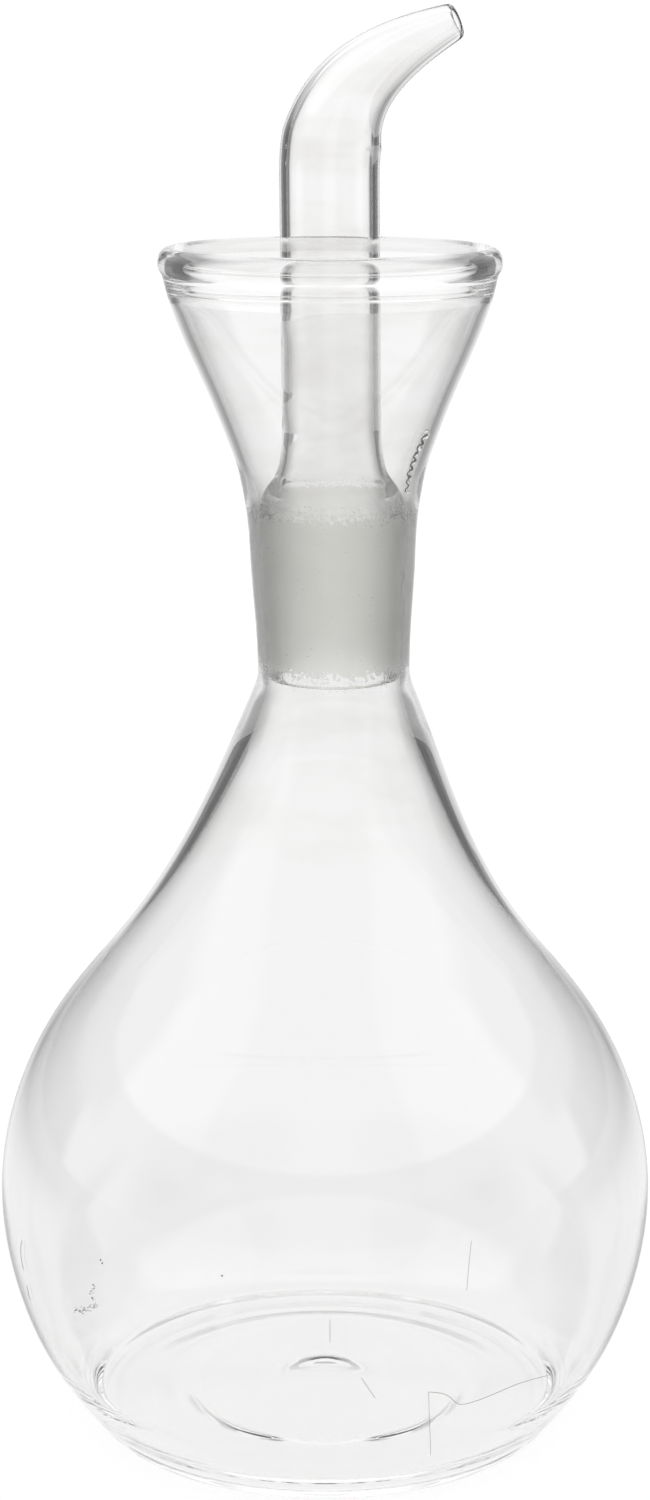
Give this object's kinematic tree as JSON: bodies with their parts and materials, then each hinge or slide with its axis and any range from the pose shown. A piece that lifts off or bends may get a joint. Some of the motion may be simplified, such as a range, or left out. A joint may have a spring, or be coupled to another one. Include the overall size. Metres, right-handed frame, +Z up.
{
  "type": "oil dispenser bottle",
  "caption": "Clear glass oil cruet: round bulb with a ground neck and a drip funnel, and a hollow ground pourer with a bent, tapering spout.",
  "frame": {"origin": "centre of the standing ring, on the surface that the bottle stands on", "axes": "+Z up, +X towards the spout"},
  "size_m": [0.102, 0.102, 0.2174],
  "materials": {
    "bottle_glass": "clear blown glass, fire-polished, with a ground socket",
    "pourer_glass": "clear drawn glass with a ground plug and a fire-polished mouth"
  },
  "bodies": {
    "root": {"bottle": "bottle_glass", "pourer": "pourer_glass"}
  },
  "joints": []
}
